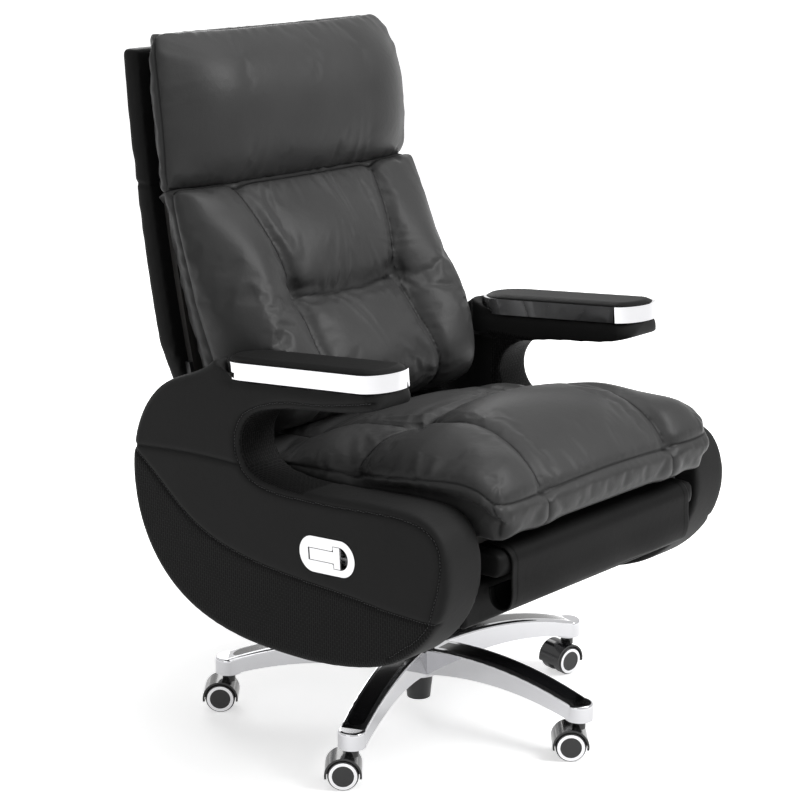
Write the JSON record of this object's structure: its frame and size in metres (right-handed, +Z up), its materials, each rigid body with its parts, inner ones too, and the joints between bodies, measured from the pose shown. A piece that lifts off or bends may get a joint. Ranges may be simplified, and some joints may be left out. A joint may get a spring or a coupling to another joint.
{
  "type": "executive recliner chair",
  "caption": "Padded swivel recliner with C-shaped side panels, chrome-trimmed arms, reclining back, pull-out footrest and a star base on casters with a gas lift.",
  "frame": {"origin": "on the floor under the swivel axis, at the middle of the chair's footprint box", "axes": "+Z up, +X to the sitter's left, the chair faces -Y"},
  "size_m": [0.724, 0.8133, 1.148],
  "materials": {
    "black_leather": "satin",
    "polished_aluminium": "polished",
    "chrome": "polished",
    "gloss_black": "gloss",
    "black_nylon": "satin",
    "zinc_steel": "satin",
    "black_steel": "satin",
    "black_board": "matte",
    "satin_silver": "satin",
    "underside_board": "matte",
    "cable_sheath": "matte"
  },
  "bodies": {
    "base": {"star_base": "polished_aluminium", "arm_inlays": "gloss_black", "lift_outer_tube": "black_steel", "lift_retaining_clip": "zinc_steel"},
    "caster_1": {"caster_1_hood": "gloss_black", "caster_1_pins": "zinc_steel"},
    "wheels_1": {"caster_1_wheels": "black_nylon", "caster_1_rings": "chrome"},
    "caster_2": {"caster_2_hood": "gloss_black", "caster_2_pins": "zinc_steel"},
    "wheels_2": {"caster_2_wheels": "black_nylon", "caster_2_rings": "chrome"},
    "caster_3": {"caster_3_hood": "gloss_black", "caster_3_pins": "zinc_steel"},
    "wheels_3": {"caster_3_wheels": "black_nylon", "caster_3_rings": "chrome"},
    "caster_4": {"caster_4_hood": "gloss_black", "caster_4_pins": "zinc_steel"},
    "wheels_4": {"caster_4_wheels": "black_nylon", "caster_4_rings": "chrome"},
    "caster_5": {"caster_5_hood": "gloss_black", "caster_5_pins": "zinc_steel"},
    "wheels_5": {"caster_5_wheels": "black_nylon", "caster_5_rings": "chrome"},
    "lift_column": {"lift_piston": "zinc_steel"},
    "seat": {"swivel_plate": "black_steel", "height_lever_pin": "zinc_steel", "seat_frame": "black_steel", "panel_bolts": "zinc_steel", "seat_pan": "black_board", "underside_cover": "underside_board", "lower_front_panel": "black_leather", "seat_cushion": "black_leather", "side_panel_right": "black_leather", "side_panel_left": "black_leather", "armrest_trim_right": "chrome", "armrest_trim_left": "chrome", "armrest_pad_right": "black_leather", "armrest_pad_left": "black_leather", "handle_plate": "satin_silver", "handle_pin": "zinc_steel", "footrest_rails": "zinc_steel", "back_hinge_bolts": "zinc_steel", "gas_spring_cylinder": "black_steel", "gas_spring_clamp": "black_steel", "release_cable": "cable_sheath"},
    "back": {"back_shell": "black_leather", "back_board": "black_board", "back_bracket": "black_steel", "back_cushion": "black_leather", "headrest_cushion": "black_leather"},
    "spring_rod": {"gas_spring_rod": "zinc_steel"},
    "footrest": {"footrest_board": "black_leather", "footrest_runners": "zinc_steel", "footrest_apron": "black_leather"},
    "recline_handle": {"recline_handle": "satin_silver"},
    "height_lever": {"height_lever": "black_steel"}
  },
  "joints": [
    {"name": "caster_1_swivel", "type": "hinge", "parent": "base", "child": "caster_1", "pos_m": [-0.30026, -0.12437, 0.066], "axis": [0, 0, 1], "continuous": true},
    {"name": "caster_1_roll", "type": "hinge", "parent": "caster_1", "child": "wheels_1", "pos_m": [-0.30959, -0.11393, 0.025], "axis": [-0.7455, -0.6665, 0], "continuous": true},
    {"name": "caster_2_swivel", "type": "hinge", "parent": "base", "child": "caster_2", "pos_m": [0.0255, -0.324, 0.066], "axis": [0, 0, 1], "continuous": true},
    {"name": "caster_2_roll", "type": "hinge", "parent": "caster_2", "child": "wheels_2", "pos_m": [0.01617, -0.31356, 0.025], "axis": [-0.7455, -0.6665, 0], "continuous": true},
    {"name": "caster_3_swivel", "type": "hinge", "parent": "base", "child": "caster_3", "pos_m": [0.31602, -0.07587, 0.066], "axis": [0, 0, 1], "continuous": true},
    {"name": "caster_3_roll", "type": "hinge", "parent": "caster_3", "child": "wheels_3", "pos_m": [0.30224, -0.07339, 0.025], "axis": [-0.1771, -0.9842, 0], "continuous": true},
    {"name": "caster_4_swivel", "type": "hinge", "parent": "base", "child": "caster_4", "pos_m": [0.16981, 0.27711, 0.066], "axis": [0, 0, 1], "continuous": true},
    {"name": "caster_4_roll", "type": "hinge", "parent": "caster_4", "child": "wheels_4", "pos_m": [0.17344, 0.29063, 0.025], "axis": [-0.9659, 0.2588, 0], "continuous": true},
    {"name": "caster_5_swivel", "type": "hinge", "parent": "base", "child": "caster_5", "pos_m": [-0.21107, 0.24713, 0.066], "axis": [0, 0, 1], "continuous": true},
    {"name": "caster_5_roll", "type": "hinge", "parent": "caster_5", "child": "wheels_5", "pos_m": [-0.2204, 0.25757, 0.025], "axis": [-0.7455, -0.6665, 0], "continuous": true},
    {"name": "seat_height", "type": "slide", "parent": "base", "child": "lift_column", "axis": [0, 0, 1], "range_m": [0, 0.08]},
    {"name": "seat_swivel", "type": "hinge", "parent": "lift_column", "child": "seat", "pos_m": [0, 0, 0.32], "axis": [0, 0, 1], "continuous": true},
    {"name": "back_recline", "type": "hinge", "parent": "seat", "child": "back", "pos_m": [0, 0.235, 0.47], "axis": [-1, 0, 0], "range_deg": [0, 35]},
    {"name": "spring_rod_slide", "type": "slide", "parent": "seat", "child": "spring_rod", "axis": [0, -1, 0], "range_m": [0, 0.049]},
    {"name": "footrest_slide", "type": "slide", "parent": "seat", "child": "footrest", "axis": [0, -1, 0], "range_m": [0, 0.25]},
    {"name": "recline_handle_pull", "type": "hinge", "parent": "seat", "child": "recline_handle", "pos_m": [-0.355, -0.09908, 0.39477], "axis": [0, -0.0698, -0.9976], "range_deg": [0, 25], "stiffness_Nm_per_rad": 0.6},
    {"name": "height_lever_pull", "type": "hinge", "parent": "seat", "child": "height_lever", "pos_m": [-0.018, 0, 0.359], "axis": [0, 1, 0], "range_deg": [0, 8], "stiffness_Nm_per_rad": 4}
  ],
  "couplings": [
    {"joint": "spring_rod_slide", "follows": "back_recline", "m_per_rad": 0.078762}
  ]
}
